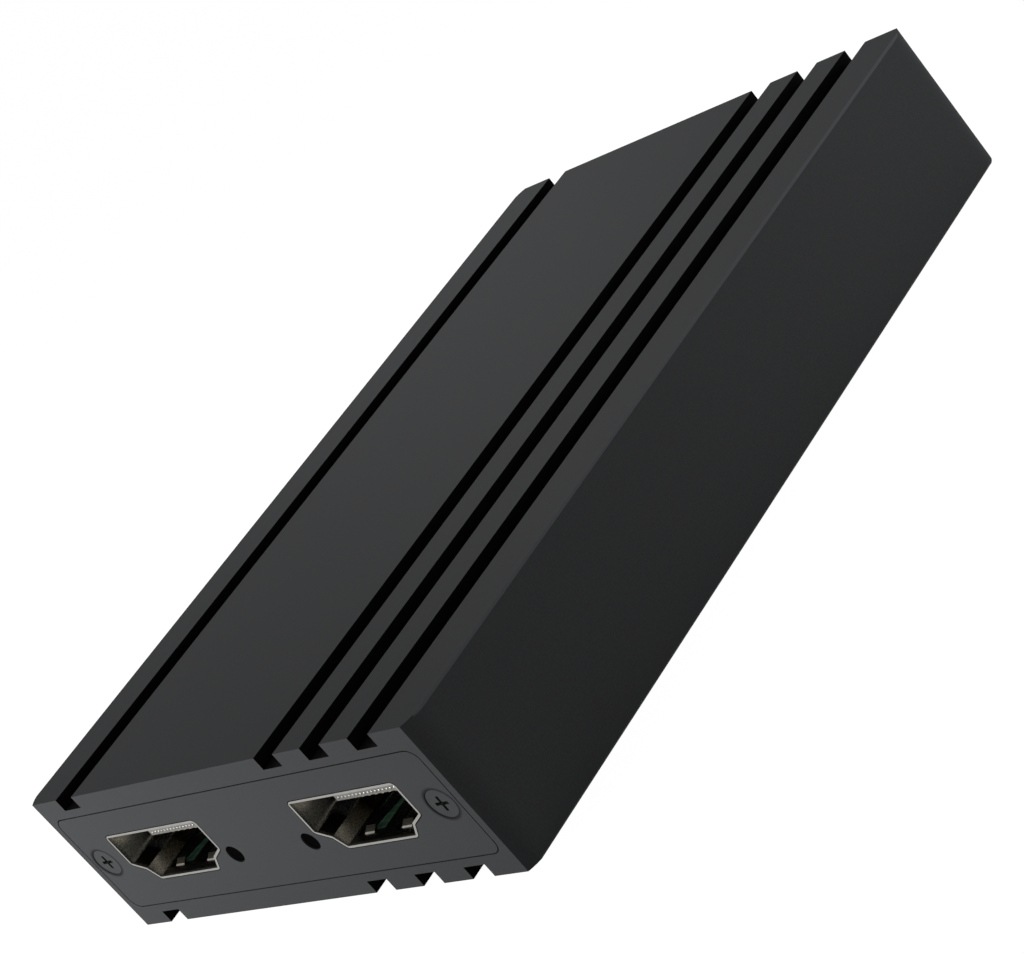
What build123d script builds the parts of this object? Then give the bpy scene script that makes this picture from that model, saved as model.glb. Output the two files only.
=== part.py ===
from build123d import *
import os

# Case: an aluminium sleeve, extruded along Y with cooling grooves, and open at both ends
case_width = 62.0
case_length = 100.0
case_height = 17.3
case_end_radius = 4.0
case_end_run = 2.6
case_edge_chamfer = 0.2
side_wall = 1.83
wall_under_groove = 0.95
groove_width = 2.9
groove_depth = 1.45
groove_pitch = 7.0
groove_side_margin = 6.9
left_groove_count = 1
right_groove_count = 3

# End plates, held flush in the ends of the case by screws in its two open channels
plate_thickness = 2.0
plate_gap = 0.12
plate_corner_radius = 1.2
screw_rim = 0.53
channel_radius = 2.0
channel_clearance = 0.05
channel_mouth = 0.9
channel_web = 2.4

# Countersunk cross-head screws
screw_head_radius = 1.62
screw_shank_radius = 0.8
screw_length = 8.0
screw_clearance = 0.08
screw_hole_clearance = 0.3
cross_span = 1.7
cross_slot = 0.36
cross_depth = 0.45

# Circuit board, slid into slots along the sides of the case
board_thickness = 1.6
board_side_gap = 0.25
board_end_gap = 0.2
slot_clearance = 0.1
ledge_width = 1.8
lip_width = 1.0
lip_height = 0.7

# Video ports: their share of the room between the screw channels that lies between them,
# and the mouth's outline, wide side up
port_spread_share = 0.83
port_rise = 0.06
port_width = 15.8
port_height = 6.3
port_side_height = 3.96
port_shoulder_inset = 1.85
port_shoulder_drop = 0.9
port_foot_inset = 2.8
port_corner_radius = 0.6
port_clearance = 0.1

# Stamped shell of a video port, with two spring leaves in its floor and two in its roof
shell_wall = 0.25
shell_length = 11.5
leaf_place = 2.73
leaf_width = 1.4
leaf_slot = 1.1
leaf_start = 1.2
leaf_root_gap = 0.8
leaf_crest_share = 0.12
leaf_rise = 0.45
leaf_tip_rise = 0.05
leg_width = 1.4
leg_clearance = 0.2
front_leg_depth = 4.2
rear_leg_inset = 2.1
tail_opening_width = 9.8
tail_opening_height = 1.0

# Moulded insulator of a video port, with the tongue that carries the contacts
tongue_front = 2.6
tongue_width = 11.2
tongue_thickness = 0.9
tongue_rise = 3.29
tongue_chamfer = 0.12
insulator_thickness = 2.1
insulator_inset = 1.8
insulator_gap = 0.05

# Contacts of a video port: two staggered rows on the tongue
contact_pitch = 1.0
upper_contact_count = 10
lower_contact_count = 9
contact_width = 0.36
contact_thickness = 0.16
contact_proud = 0.05
contact_clearance = 0.03
contact_setback = 0.15
upper_contact_run = 1.0
lower_contact_run = 0.5
contact_foot_run = 0.9

# Status lights: a lamp on the board behind a light pipe in a hole of the front plate
light_port_gap = 0.19
light_board_gap = 0.2
light_hole_radius = 1.06
pipe_clearance = 0.06
pipe_recess = 0.15
pipe_flange_rim = 0.22
pipe_flange_thickness = 0.5
pipe_lamp_gap = 0.3
lamp_width = 2.4
lamp_length = 2.2
lamp_height = 2.6
lamp_lens_size = 1.3
lamp_lens_height = 0.25

# Data port at the rear: an oval shell round a tongue
data_width = 8.94
data_height = 3.26
data_side_flat = 0.26
data_wall = 0.3
data_length = 7.35
data_tongue_front = 0.9
data_tongue_width = 6.7
data_tongue_thickness = 0.7
data_insulator_thickness = 1.1
data_insulator_inset = 1.35
data_contact_count = 12
data_contact_pitch = 0.5
data_contact_width = 0.24
data_contact_thickness = 0.1
data_contact_setback = 0.4
data_upper_run = 1.1
data_lower_run = 0.4
data_upper_foot_run = 1.1
data_lower_foot_run = 0.35
data_tail_opening = 6.6
data_leg_width = 1.0
data_leg_inset = 2.15

# Audio jacks at the rear: a moulded body, a metal bush at its mouth and spring contacts
jack_spread_share = 0.6
jack_width = 6.4
jack_roof = 0.1
jack_length = 12.0
jack_bore_radius = 1.8
bush_wall = 0.7
bush_length = 5.0
bush_clearance = 0.05
jack_hole_clearance = 0.12
jack_cavity_gap = 0.25
jack_back_wall = 1.0
jack_spring_width = 1.0
jack_spring_thickness = 0.2
jack_spring_headroom = 1.2
jack_spring_clearance = 0.1
jack_foot_length = 1.9
jack_spring_shares = [(-1, 0.5), (-1, 0.85), (1, 0.68)]

# Chips on the board: width, length and height, and places as shares of half the board
main_chip = (15.0, 15.0, 1.5)
memory_chip = (8.0, 12.0, 1.1)
receiver_chip = (10.0, 10.0, 1.0)
bridge_chip = (9.0, 9.0, 0.95)
audio_chip = (5.0, 5.0, 0.9)
flash_chip = (5.2, 5.3, 1.7)
chip_corner_share = 0.08
main_chip_shares = (0.0, -0.03)
memory_chip_shares = [(-0.56, -0.1), (-0.56, 0.24)]
receiver_chip_shares = [(-0.5, -0.52), (0.5, -0.52)]
bridge_chip_shares = (0.0, 0.48)
audio_chip_shares = (0.42, 0.44)
flash_chip_shares = (-0.34, 0.47)

# Leads of the flash chip
flash_lead_count = 4
flash_lead_pitch = 1.27
flash_lead_width = 0.4
flash_lead_thickness = 0.2
flash_lead_reach = 1.3
flash_lead_rise = 0.8

# Finned heat sink on the main chip, and the soft pad between the board and the case's floor
sink_base = 1.4
sink_height = 5.0
sink_fin_count = 6
sink_fin_thickness = 0.9
pad_size = 16.0

# Power and timing parts on the board
inductor_size = 4.2
inductor_height = 2.4
inductor_corner = 0.7
inductor_shares = [(0.5, -0.12), (0.5, 0.06), (0.72, -0.12), (0.72, 0.06)]
can_radius = 2.5
can_height = 5.4
can_base_size = 5.3
can_base_height = 0.9
can_shares = [(0.46, 0.26), (0.7, 0.26)]
crystal_size = (3.2, 2.5, 0.8)
crystal_corner = 0.3
crystal_shares = [(-0.3, -0.27), (0.2, -0.5), (-0.14, 0.3)]
ceramic_size = (1.0, 1.6, 0.8)
ceramic_row_count = 6
ceramic_pitch = 2.0
ceramic_row_shares = [(0.0, -0.3), (0.0, 0.22), (0.62, -0.28)]
guard_size = (2.5, 1.6, 0.6)
guard_pitch = 3.4
guard_count = 4
guard_row_share = -0.68

# Sizes that follow from the ones above
front = -1
rear = 1
mid_height = case_height / 2
rail_length = case_length - 2 * plate_thickness
pocket_width = case_width - 2 * side_wall
pocket_height = case_height - 2 * (wall_under_groove + groove_depth)
plate_width = pocket_width - 2 * plate_gap
plate_height = pocket_height - 2 * plate_gap
floor_height = mid_height - pocket_height / 2
screw_place = plate_width / 2 - screw_rim - screw_head_radius
screw_hole_radius = screw_shank_radius + screw_hole_clearance
channel_bore_radius = screw_shank_radius + channel_clearance
channel_side = screw_place - channel_radius
board_top = mid_height + port_rise - port_height / 2
board_bottom = board_top - board_thickness
board_width = pocket_width - 2 * board_side_gap
board_length = rail_length - 2 * board_end_gap
leg_drop = board_thickness + (board_bottom - floor_height) / 2
port_inner_side = port_spread_share * (channel_side - port_width)
port_place = port_inner_side + port_width / 2
rear_leg_depth = shell_length - rear_leg_inset
insulator_rear = shell_length - insulator_inset
insulator_front = insulator_rear - insulator_thickness
leaf_length = insulator_front - leaf_start - leaf_root_gap
contact_start = tongue_front + contact_setback
upper_contact_bend = insulator_rear + upper_contact_run
lower_contact_bend = insulator_rear + lower_contact_run
contact_foot_end = shell_length + contact_foot_run
pipe_flange_half = light_hole_radius + pipe_flange_rim
light_place = port_inner_side - light_port_gap - pipe_flange_half
light_rise = light_board_gap + pipe_flange_half
data_corner_radius = (data_height - data_side_flat) / 2
data_insulator_rear = data_length - data_insulator_inset
data_insulator_front = data_insulator_rear - data_insulator_thickness
data_contact_start = data_tongue_front + data_contact_setback
data_upper_bend = data_insulator_rear + data_upper_run
data_lower_bend = data_insulator_rear + data_lower_run
data_leg_depth = data_length - data_leg_inset
bush_radius = jack_bore_radius + bush_wall
jack_cavity_half = jack_bore_radius + jack_cavity_gap
jack_height = 2 * (bush_radius + jack_roof)
jack_spring_height = jack_height - jack_spring_headroom
jack_place = jack_spread_share * channel_side
jack_body_front = plate_thickness + board_end_gap
standing = (Align.CENTER, Align.CENTER, Align.MIN)
hanging = (Align.CENTER, Align.CENTER, Align.MAX)


def end_frame(side, across, height):
    """A frame on the outside of one end: X to the right as that end is seen, Y up and Z outwards."""
    place = (-side * across, side * case_length / 2, height)
    return Plane(origin=place, x_dir=(-side, 0, 0), z_dir=(0, side, 0))


def inwards(profile, start, end):
    """A profile on an end's frame, carried into the case from one depth to another."""
    return extrude(Plane.XY.offset(-end) * profile, amount=end - start, dir=(0, 0, 1))


def along_case(profile, length):
    """A profile in X and Z, extruded along Y, half of it to each side of the middle."""
    return extrude(Plane.XZ * profile, amount=length / 2, both=True)


def side_profile(points, width):
    """An outline of depths and heights on an end's frame, given a width across it."""
    plane = Plane(origin=(0, 0, 0), x_dir=(0, 0, -1), z_dir=(1, 0, 0))
    return extrude(plane * Polygon(*points, align=None), amount=width / 2, both=True)


def board_place(shares):
    """A place on top of the board, from its shares of half the board's width and length."""
    return Pos(shares[0] * board_width / 2, shares[1] * board_length / 2, board_top)


def groove_places():
    """The grooves' centres across the case: one near the left side and three near the right."""
    outer = case_width / 2 - groove_side_margin
    left = [-outer + i * groove_pitch for i in range(left_groove_count)]
    right = [outer - i * groove_pitch for i in range(right_groove_count)]
    return left + right


def make_case():
    """The grooved sleeve, with a board slot and an open screw channel along each side."""
    outline = Rectangle(case_width, case_height)
    section = Pos(0, mid_height) * chamfer(outline.vertices(), case_edge_chamfer)
    for place in groove_places():
        for face in (0, case_height):
            section -= Pos(place, face) * Rectangle(groove_width, 2 * groove_depth)
    cavity_radius = plate_corner_radius + plate_gap
    section -= Pos(0, mid_height) * RectangleRounded(pocket_width, pocket_height, cavity_radius)
    plan_length = case_length + 2 * (case_end_radius - case_end_run)
    plan = RectangleRounded(case_width, plan_length, case_end_radius)
    sleeve = along_case(section, case_length) & extrude(plan, amount=case_height)
    for side in (front, rear):
        sleeve += along_case(rail_section(side), rail_length)
    return sleeve


def rail_section(side):
    """One side's rail: the ledge and lip that hold the board's edge, and the screw channel."""
    wall = side * pocket_width / 2
    root = side_wall / 2
    ledge_height = board_bottom - floor_height
    ledge = Rectangle(ledge_width + root, ledge_height + root)
    ledge_x = wall + side * (root - ledge_width) / 2
    section = Pos(ledge_x, board_bottom - (ledge_height + root) / 2) * ledge
    lip_bottom = board_top + slot_clearance
    lip_x = wall + side * (root - lip_width) / 2
    section += Pos(lip_x, lip_bottom + lip_height / 2) * Rectangle(lip_width + root, lip_height)
    channel = Pos(side * screw_place, mid_height)
    web_width = pocket_width / 2 + root - screw_place
    web_x = side * (screw_place + web_width / 2)
    section += channel * Circle(channel_radius)
    section += Pos(web_x, mid_height) * Rectangle(web_width, channel_web)
    section -= channel * Circle(channel_bore_radius)
    mouth_x = side * (screw_place - channel_radius / 2)
    section -= Pos(mouth_x, mid_height) * Rectangle(channel_radius, channel_mouth)
    return section


def make_plate(side):
    """A flat end plate with rounded corners and two countersunk screw holes."""
    blank = RectangleRounded(plate_width, plate_height, plate_corner_radius)
    plate = inwards(blank, 0, plate_thickness)
    sink_radius = screw_head_radius + screw_clearance
    for across in (-screw_place, screw_place):
        hole = inwards(Circle(screw_hole_radius), 0, plate_thickness)
        sink = Cone(screw_shank_radius, sink_radius, sink_radius - screw_shank_radius, align=hanging)
        plate -= Pos(across, 0, 0) * (hole + sink)
    return end_frame(side, 0, mid_height) * plate


def make_front_plate():
    """The front plate, cut out for two video ports and two status lights."""
    plate = make_plate(front)
    for across in (-port_place, port_place):
        opening = inwards(port_outline(port_clearance), 0, plate_thickness)
        plate -= end_frame(front, across, board_top) * opening
    for across in (-light_place, light_place):
        hole = inwards(Circle(light_hole_radius), 0, plate_thickness)
        plate -= end_frame(front, across, board_top + light_rise) * hole
    return plate


def make_rear_plate():
    """The rear plate, cut out for the data port between two audio jacks."""
    plate = make_plate(rear)
    opening = inwards(data_outline(port_clearance), 0, plate_thickness)
    plate -= end_frame(rear, 0, board_top) * opening
    for across in (-jack_place, jack_place):
        hole = inwards(Circle(bush_radius + jack_hole_clearance), 0, plate_thickness)
        plate -= end_frame(rear, across, board_top + jack_height / 2) * hole
    return plate


def make_screw():
    """One countersunk screw, with its head's face at zero and its shank pointing inwards."""
    head_drop = screw_head_radius - screw_shank_radius
    head = Cone(screw_shank_radius, screw_head_radius, head_drop, align=hanging)
    shank = Cylinder(screw_shank_radius, screw_length, align=hanging)
    cross = Box(cross_span, cross_slot, cross_depth, align=hanging)
    cross += Box(cross_slot, cross_span, cross_depth, align=hanging)
    return head + shank - cross


def make_screws(side):
    """The two screws of one end, a little below the face of the plate."""
    places = (-screw_place, screw_place)
    return [end_frame(side, x, mid_height) * Pos(0, 0, -screw_clearance) * make_screw() for x in places]


def port_outline(grow):
    """The video port's outline, standing on the board: rounded when grown, and sharp when shrunk."""
    half = port_width / 2
    shoulder = port_height - port_side_height
    right = [(half, port_height), (half, shoulder)]
    right += [(half - port_shoulder_inset, shoulder - port_shoulder_drop), (half - port_foot_inset, 0)]
    left = [(-x, y) for x, y in reversed(right)]
    outline = Polygon(*(right + left), align=None)
    if grow < 0:
        return offset(outline, grow, kind=Kind.INTERSECTION)
    outline = fillet(outline.vertices(), port_corner_radius)
    return offset(outline, grow) if grow else outline


def make_leaf():
    """A spring leaf in the shell's floor: rooted behind, crested and free at its front tip."""
    tip = leaf_start
    crest = leaf_start + leaf_crest_share * leaf_length
    root = leaf_start + leaf_length + shell_wall
    lower = [(tip, leaf_tip_rise), (crest, leaf_rise), (root, 0)]
    upper = [(depth, rise + shell_wall) for depth, rise in reversed(lower)]
    return side_profile(lower + upper, leaf_width)


def make_port_shell():
    """A video port's folded shell: walls, back, four spring leaves and four board legs."""
    shell = inwards(port_outline(0) - port_outline(-shell_wall), 0, shell_length)
    shell += inwards(port_outline(0), shell_length - shell_wall, shell_length)
    tails = Rectangle(tail_opening_width, 2 * tail_opening_height)
    shell -= inwards(tails, insulator_rear, shell_length)
    slot = Box(leaf_width + 2 * leaf_slot, 2 * shell_wall, leaf_length, align=hanging)
    roof = Plane.XZ.offset(-port_height / 2)
    for across in (-leaf_place, leaf_place):
        window = Pos(across, shell_wall / 2, -leaf_start) * slot
        leaf = Pos(across, 0, 0) * make_leaf()
        shell = shell - window - mirror(window, about=roof)
        shell = shell + leaf + mirror(leaf, about=roof)
    leg_top = port_height - port_side_height + 2 * port_corner_radius
    leg_length = leg_top + leg_drop
    for across in (-port_width / 2 + shell_wall / 2, port_width / 2 - shell_wall / 2):
        for depth in (front_leg_depth, rear_leg_depth):
            leg = Box(shell_wall, leg_length, leg_width)
            shell += Pos(across, leg_top - leg_length / 2, -depth) * leg
    return shell


def contact_bar(count, pitch, row_rise, size, start, end, grow):
    """Straight bars of one row of contacts, grown all round by a clearance."""
    width, thickness = size
    places = [(i - (count - 1) / 2) * pitch for i in range(count)]
    bar = Box(width + 2 * grow, thickness + 2 * grow, end - start, align=hanging)
    return [Pos(x, row_rise + thickness / 2, -start) * bar for x in places]


def contact_row(count, pitch, row_rise, size, start, bend, foot_end):
    """One row of contacts: each runs back, bends down behind the insulator and ends on the board."""
    width, thickness = size
    upper = [(start, row_rise), (start, row_rise + thickness), (bend, row_rise + thickness)]
    lower = [(bend, thickness), (foot_end, thickness), (foot_end, 0)]
    inner = [(bend - thickness, 0), (bend - thickness, row_rise)]
    contact = side_profile(upper + lower + inner, width)
    places = [(i - (count - 1) / 2) * pitch for i in range(count)]
    return [Pos(x, 0, 0) * contact for x in places]


def port_contact_rises():
    """The heights of the undersides of the two contact rows above and below the tongue."""
    upper = tongue_rise + tongue_thickness + contact_proud - contact_thickness
    return upper, tongue_rise - contact_proud


def make_port_insulator():
    """A video port's moulding: a block that fills the shell, and a slotted tongue in front."""
    block = inwards(port_outline(-shell_wall - insulator_gap), insulator_front, insulator_rear)
    tongue_length = insulator_front - tongue_front
    tongue = Box(tongue_width, tongue_thickness, tongue_length, align=hanging)
    tongue = chamfer(tongue.faces().sort_by(Axis.Z)[-1].edges(), tongue_chamfer)
    moulding = block + Pos(0, tongue_rise + tongue_thickness / 2, -tongue_front) * tongue
    size = (contact_width, contact_thickness)
    upper, lower = port_contact_rises()
    span = (contact_start - contact_clearance, insulator_rear)
    for count, rise in ((upper_contact_count, upper), (lower_contact_count, lower)):
        for bar in contact_bar(count, contact_pitch, rise, size, *span, contact_clearance):
            moulding -= bar
    return moulding


def make_port_contacts():
    """The nineteen contacts of a video port, as separate solids."""
    size = (contact_width, contact_thickness)
    upper, lower = port_contact_rises()
    rows = contact_row(upper_contact_count, contact_pitch, upper, size,
                       contact_start, upper_contact_bend, contact_foot_end)
    rows += contact_row(lower_contact_count, contact_pitch, lower, size,
                        contact_start, lower_contact_bend, contact_foot_end)
    return rows


def make_light_pipe():
    """A round clear pipe in a hole of the front plate, with a square flange on the plate's back."""
    pipe = inwards(Circle(light_hole_radius - pipe_clearance), pipe_recess, plate_thickness)
    flange_end = plate_thickness + pipe_flange_thickness
    flange = Rectangle(2 * pipe_flange_half, 2 * pipe_flange_half)
    return pipe + inwards(flange, plate_thickness, flange_end)


def make_lamp():
    """A lamp that stands on the board and shines into a light pipe."""
    start = plate_thickness + pipe_flange_thickness + pipe_lamp_gap
    body_start = start + lamp_lens_height
    lamp = Box(lamp_width, lamp_height, lamp_length, align=hanging)
    lens = inwards(Rectangle(lamp_lens_size, lamp_lens_size), start, body_start)
    body_rise = lamp_height / 2 - light_rise
    return Pos(0, body_rise, -body_start) * lamp + lens


def data_outline(grow):
    """The data port's oval outline on its end's frame, standing on the board."""
    radius = data_corner_radius + grow
    oval = RectangleRounded(data_width + 2 * grow, data_height + 2 * grow, radius)
    return Pos(0, data_height / 2) * oval


def make_data_shell():
    """The data port's drawn oval shell, open below its contacts, with two legs through the board."""
    shell = inwards(data_outline(0) - data_outline(-data_wall), 0, data_length)
    shell -= inwards(Rectangle(data_tail_opening, 2 * data_wall), data_insulator_rear, data_length)
    leg_top = data_height / 2
    leg_length = leg_top + leg_drop
    for across in (-data_width / 2 + data_wall / 2, data_width / 2 - data_wall / 2):
        leg = Box(data_wall, leg_length, data_leg_width)
        shell += Pos(across, leg_top - leg_length / 2, -data_leg_depth) * leg
    return shell


def data_contact_rises():
    """The undersides of the data port's two contact rows, which lie on the faces of its tongue."""
    tongue_bottom = (data_height - data_tongue_thickness) / 2
    return tongue_bottom + data_tongue_thickness, tongue_bottom - data_contact_thickness


def make_data_insulator():
    """The data port's moulding: a thin tongue before a block with a window for each contact row."""
    outline = data_outline(-data_wall - insulator_gap)
    block = inwards(outline, data_insulator_front, data_insulator_rear)
    tongue_length = data_insulator_front - data_tongue_front
    tongue = Box(data_tongue_width, data_tongue_thickness, tongue_length, align=hanging)
    moulding = block + Pos(0, data_height / 2, -data_tongue_front) * tongue
    row_width = (data_contact_count - 1) * data_contact_pitch + data_contact_width
    window_size = (row_width + 2 * contact_clearance, data_contact_thickness + contact_clearance)
    window = inwards(Rectangle(*window_size), data_insulator_front, data_insulator_rear)
    window_rise = (data_tongue_thickness + window_size[1]) / 2
    for rise in (data_height / 2 - window_rise, data_height / 2 + window_rise):
        moulding -= Pos(0, rise, 0) * window
    return moulding


def make_data_contacts():
    """The data port's two rows of contacts, as separate solids."""
    size = (data_contact_width, data_contact_thickness)
    upper, lower = data_contact_rises()
    rows = contact_row(data_contact_count, data_contact_pitch, upper, size,
                       data_contact_start, data_upper_bend, data_upper_bend + data_upper_foot_run)
    rows += contact_row(data_contact_count, data_contact_pitch, lower, size,
                        data_contact_start, data_lower_bend, data_lower_bend + data_lower_foot_run)
    return rows


def jack_springs():
    """Depth and side of each spring contact of an audio jack."""
    return [(side, jack_body_front + share * jack_length) for side, share in jack_spring_shares]


def make_jack_body():
    """An audio jack's moulding: bored for its bush, hollow behind it and slotted for its springs."""
    rear_depth = jack_body_front + jack_length
    body = inwards(Rectangle(jack_width, jack_height), jack_body_front, rear_depth)
    body -= inwards(Circle(bush_radius + bush_clearance), jack_body_front, bush_length)
    cavity = Rectangle(2 * jack_cavity_half, 2 * jack_cavity_half)
    body -= inwards(cavity, bush_length, rear_depth - jack_back_wall)
    slot_width = jack_spring_width + 2 * jack_spring_clearance
    slot_height = jack_spring_height + jack_spring_clearance
    slot = Box(jack_width / 2, slot_height, slot_width)
    for side, depth in jack_springs():
        body -= Pos(side * jack_width / 4, (slot_height - jack_height) / 2, -depth) * slot
    return body


def make_jack_bush():
    """The metal bush at an audio jack's mouth, which guides the plug."""
    return inwards(Circle(bush_radius) - Circle(jack_bore_radius), 0, bush_length)


def make_jack_springs():
    """An audio jack's spring contacts: upright strips beside the plug, with feet on the board."""
    springs = []
    for side, depth in jack_springs():
        inner = jack_cavity_half + jack_spring_clearance
        blade = Box(jack_spring_thickness, jack_spring_height, jack_spring_width)
        blade_x = inner + jack_spring_thickness / 2
        foot = Box(jack_foot_length, jack_spring_thickness, jack_spring_width)
        foot_x = inner + jack_foot_length / 2
        spring = Pos(side * blade_x, (jack_spring_height - jack_height) / 2, -depth) * blade
        spring += Pos(side * foot_x, (jack_spring_thickness - jack_height) / 2, -depth) * foot
        springs.append(spring)
    return springs


def leg_slots(shell_width, wall, leg_size, depths):
    """The cuts for a shell's legs in the board, on the frame of the shell's end."""
    slot_size = (wall + 2 * leg_clearance, leg_size + 2 * leg_clearance)
    slots = []
    for across in ((wall - shell_width) / 2, (shell_width - wall) / 2):
        for depth in depths:
            slot = Box(slot_size[0], board_thickness, slot_size[1])
            slots.append(Pos(across, -board_thickness / 2, -depth) * slot)
    return slots


def make_board():
    """The circuit board, slotted for the legs of the port shells."""
    board = Pos(0, 0, board_bottom) * Box(board_width, board_length, board_thickness, align=standing)
    port_slots = leg_slots(port_width, shell_wall, leg_width, (front_leg_depth, rear_leg_depth))
    for across in (-port_place, port_place):
        for slot in port_slots:
            board -= end_frame(front, across, board_top) * slot
    for slot in leg_slots(data_width, data_wall, data_leg_width, (data_leg_depth,)):
        board -= end_frame(rear, 0, board_top) * slot
    return board


def make_chip(size, shares):
    """A flat chip on the board, with one corner cut to mark its first pin."""
    width, length, height = size
    right, back = width / 2, length / 2
    cut = chip_corner_share * width
    outline = Polygon((-right, -back), (right, -back), (right, back), (cut - right, back),
                      (-right, back - cut), align=None)
    return board_place(shares) * extrude(outline, amount=height, dir=(0, 0, 1))


def make_cut_block(size, cut):
    """A block on its underside with its four upright edges cut."""
    width, length, height = size
    return extrude(chamfer(Rectangle(width, length).vertices(), cut), amount=height)


def make_flash_leads():
    """The flash chip's gull-wing leads, on two sides of it."""
    near = flash_chip[1] / 2
    far = near + flash_lead_reach
    bend = near + flash_lead_reach / 2
    top = [(near, flash_lead_rise), (near, flash_lead_rise + flash_lead_thickness)]
    outer = [(bend, flash_lead_rise + flash_lead_thickness), (bend, flash_lead_thickness)]
    foot = [(far, flash_lead_thickness), (far, 0), (bend - flash_lead_thickness, 0)]
    inner = [(bend - flash_lead_thickness, flash_lead_rise)]
    profile = Plane.YZ * Polygon(*(top + outer + foot + inner), align=None)
    lead = extrude(profile, amount=flash_lead_width / 2, both=True)
    leads = []
    for turn in (0, 180):
        for i in range(flash_lead_count):
            across = (i - (flash_lead_count - 1) / 2) * flash_lead_pitch
            leads.append(board_place(flash_chip_shares) * Rot(0, 0, turn) * Pos(across, 0, 0) * lead)
    return leads


def make_heat_sink():
    """The finned heat sink that lies on the main chip, with its fins along the case."""
    width, length, height = main_chip
    sink = Box(width, length, sink_base, align=standing)
    pitch = (width - sink_fin_thickness) / (sink_fin_count - 1)
    for i in range(sink_fin_count):
        fin = Box(sink_fin_thickness, length, sink_height, align=standing)
        sink += Pos(i * pitch - (width - sink_fin_thickness) / 2, 0, 0) * fin
    return board_place(main_chip_shares) * Pos(0, 0, height) * sink


def make_thermal_pad():
    """The soft pad that carries the main chip's heat from the board to the case's floor."""
    pad = Box(pad_size, pad_size, board_bottom - floor_height, align=hanging)
    return board_place(main_chip_shares) * Pos(0, 0, -board_thickness) * pad


def make_inductors():
    """Shielded power inductors."""
    inductor = make_cut_block((inductor_size, inductor_size, inductor_height), inductor_corner)
    return [board_place(shares) * inductor for shares in inductor_shares]


def make_cans():
    """Electrolytic capacitors: round cans on square bases."""
    base = Box(can_base_size, can_base_size, can_base_height, align=standing)
    can = base + Cylinder(can_radius, can_height, align=standing)
    return [board_place(shares) * can for shares in can_shares]


def make_crystals():
    """Small metal crystal cans, one beside each chip that needs a clock."""
    crystal = make_cut_block(crystal_size, crystal_corner)
    return [board_place(shares) * crystal for shares in crystal_shares]


def make_ceramics():
    """Rows of ceramic chip capacitors beside the chips they serve."""
    capacitor = Box(*ceramic_size, align=standing)
    pieces = []
    for shares in ceramic_row_shares:
        for i in range(ceramic_row_count):
            across = (i - (ceramic_row_count - 1) / 2) * ceramic_pitch
            pieces.append(board_place(shares) * Pos(across, 0, 0) * capacitor)
    return pieces


def make_guards():
    """Rows of surge guards, just behind the two video ports."""
    guard = Box(*guard_size, align=standing)
    pieces = []
    for port in (-port_place, port_place):
        for i in range(guard_count):
            across = port + (i - (guard_count - 1) / 2) * guard_pitch
            pieces.append(Pos(across, 0, 0) * board_place((0, guard_row_share)) * guard)
    return pieces


def at_ports(side, places, height, pieces):
    """Copies of the pieces of one connector, at each of its places on an end."""
    return [end_frame(side, x, height) * piece for x in places for piece in pieces]


def write_node(name, pieces):
    """Writes the solids of one named sub-part."""
    solids = []
    for piece in pieces:
        solids += piece.solids()
    node = Compound(label=name, children=solids) if len(solids) > 1 else solids[0]
    export_step(node, "parts/" + name + ".step")
    print(name, len(solids))


def main():
    os.makedirs("parts", exist_ok=True)
    write_node("case_sleeve", [make_case()])
    write_node("front_plate", [make_front_plate()])
    write_node("rear_plate", [make_rear_plate()])
    write_node("front_screws", make_screws(front))
    write_node("rear_screws", make_screws(rear))
    write_node("circuit_board", [make_board()])

    for name, across in (("left", -port_place), ("right", port_place)):
        frame = end_frame(front, across, board_top)
        write_node(name + "_video_port_shell", [frame * make_port_shell()])
        write_node(name + "_video_port_insulator", [frame * make_port_insulator()])
        write_node(name + "_video_port_contacts", [frame * piece for piece in make_port_contacts()])

    lights = (-light_place, light_place)
    light_height = board_top + light_rise
    write_node("light_pipes", at_ports(front, lights, light_height, [make_light_pipe()]))
    write_node("status_lamps", at_ports(front, lights, light_height, [make_lamp()]))

    data_frame = end_frame(rear, 0, board_top)
    write_node("data_port_shell", [data_frame * make_data_shell()])
    write_node("data_port_insulator", [data_frame * make_data_insulator()])
    write_node("data_port_contacts", [data_frame * piece for piece in make_data_contacts()])

    jacks = (-jack_place, jack_place)
    jack_axis = board_top + jack_height / 2
    write_node("audio_jack_bodies", at_ports(rear, jacks, jack_axis, [make_jack_body()]))
    write_node("audio_jack_bushes", at_ports(rear, jacks, jack_axis, [make_jack_bush()]))
    write_node("audio_jack_springs", at_ports(rear, jacks, jack_axis, make_jack_springs()))

    write_node("capture_chip", [make_chip(main_chip, main_chip_shares)])
    write_node("heat_sink", [make_heat_sink()])
    write_node("thermal_pad", [make_thermal_pad()])
    write_node("memory_chips", [make_chip(memory_chip, shares) for shares in memory_chip_shares])
    write_node("video_receiver_chips", [make_chip(receiver_chip, shares) for shares in receiver_chip_shares])
    write_node("data_bridge_chip", [make_chip(bridge_chip, bridge_chip_shares)])
    write_node("audio_codec_chip", [make_chip(audio_chip, audio_chip_shares)])
    write_node("flash_chip_body", [make_chip(flash_chip, flash_chip_shares)])
    write_node("flash_chip_leads", make_flash_leads())
    write_node("power_inductors", make_inductors())
    write_node("electrolytic_capacitors", make_cans())
    write_node("clock_crystals", make_crystals())
    write_node("ceramic_capacitors", make_ceramics())
    write_node("surge_guards", make_guards())


main()
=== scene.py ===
# %% [markdown]
# # A grooved video capture box
# The imported CAD model already holds every rigid piece in its real place, so this lesson never moves
# or reshapes one of them. It loads them as a fixed frame and keeps the size of their common box, to
# write it down at the end.

# %% The imported model
import math
import bpy
from mathutils import Matrix, Vector


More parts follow.
